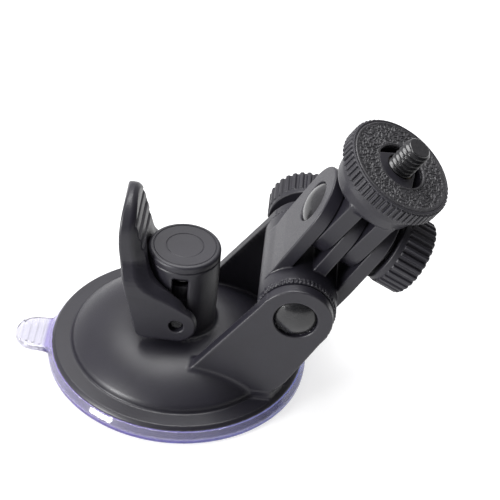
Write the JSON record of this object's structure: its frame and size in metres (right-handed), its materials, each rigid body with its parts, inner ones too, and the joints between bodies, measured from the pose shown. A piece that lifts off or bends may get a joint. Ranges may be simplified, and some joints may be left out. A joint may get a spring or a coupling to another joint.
{
  "type": "suction cup camera mount",
  "caption": "Suction-cup windscreen mount for a small camera, with a cam lever, two clamped pivots and a camera screw with a knurled lock ring.",
  "frame": {"origin": "centre of the suction cup's underside, where it meets the glass", "axes": "+Z away from the glass along the plunger, +X from the tower towards the fork and camera head, +Y towards the first clamp knob"},
  "size_m": [0.1005, 0.065, 0.0752],
  "materials": {
    "black_abs": "fine matte moulded",
    "clear_pvc": "clear with a faint violet tint",
    "black_steel": "black oxide, glossy",
    "dark_steel": "dark drawn wire",
    "zinc_steel": "zinc plated",
    "brass_insert": "blackened",
    "grained_rubber": "leather grain"
  },
  "bodies": {
    "base": {"suction_cup": "clear_pvc", "base_shell": "black_abs", "tower_cap": "black_abs", "plunger_spring": "dark_steel", "pivot_bolt_1": "black_steel", "pivot_washer_1": "zinc_steel"},
    "plunger": {"plunger_stem": "black_abs", "lever_pin": "dark_steel"},
    "lever": {"cam_lever": "black_abs"},
    "knob_1": {"clamp_knob_1": "black_abs", "pivot_nut_1": "zinc_steel", "knob_cap_1": "black_abs"},
    "elbow": {"elbow_link": "black_abs", "pivot_bolt_2": "black_steel", "pivot_washer_2": "zinc_steel"},
    "knob_2": {"clamp_knob_2": "black_abs", "pivot_nut_2": "zinc_steel", "knob_cap_2": "black_abs"},
    "head": {"camera_head": "black_abs", "camera_screw": "black_steel"},
    "ring": {"lock_ring": "black_abs", "lock_ring_insert": "brass_insert", "lock_ring_pad": "grained_rubber"}
  },
  "joints": [
    {"name": "plunger_lift", "type": "slide", "parent": "base", "child": "plunger", "axis": [0, 0, 1], "range_m": [0, 0.0057], "deforming": ["plunger_spring"]},
    {"name": "lever_swing", "type": "hinge", "parent": "plunger", "child": "lever", "pos_m": [0, 0, 0.01925], "axis": [0, -1, 0], "range_deg": [0, 78]},
    {"name": "elbow_tilt", "type": "hinge", "parent": "base", "child": "elbow", "pos_m": [0.02812, 0, 0.03059], "axis": [0, 1, 0], "range_deg": [-50, 70]},
    {"name": "clamp_knob_1_turn", "type": "hinge", "parent": "base", "child": "knob_1", "pos_m": [0.02812, 0.0248, 0.03059], "axis": [0, 1, 0], "continuous": true},
    {"name": "head_tilt", "type": "hinge", "parent": "elbow", "child": "head", "pos_m": [0.03746, 0, 0.0483], "axis": [0.8846, 0, -0.4664], "range_deg": [-67.5, 62.5]},
    {"name": "clamp_knob_2_turn", "type": "hinge", "parent": "elbow", "child": "knob_2", "pos_m": [0.0509, 0, 0.04121], "axis": [0.8846, 0, -0.4664], "continuous": true},
    {"name": "lock_ring_turn", "type": "hinge", "parent": "head", "child": "ring", "pos_m": [0.04671, -0.00261, 0.06584], "axis": [0.4624, -0.1305, 0.877], "continuous": true}
  ],
  "couplings": [
    {"joint": "lever_swing", "follows": "plunger_lift", "rad_per_m": 238.83}
  ]
}
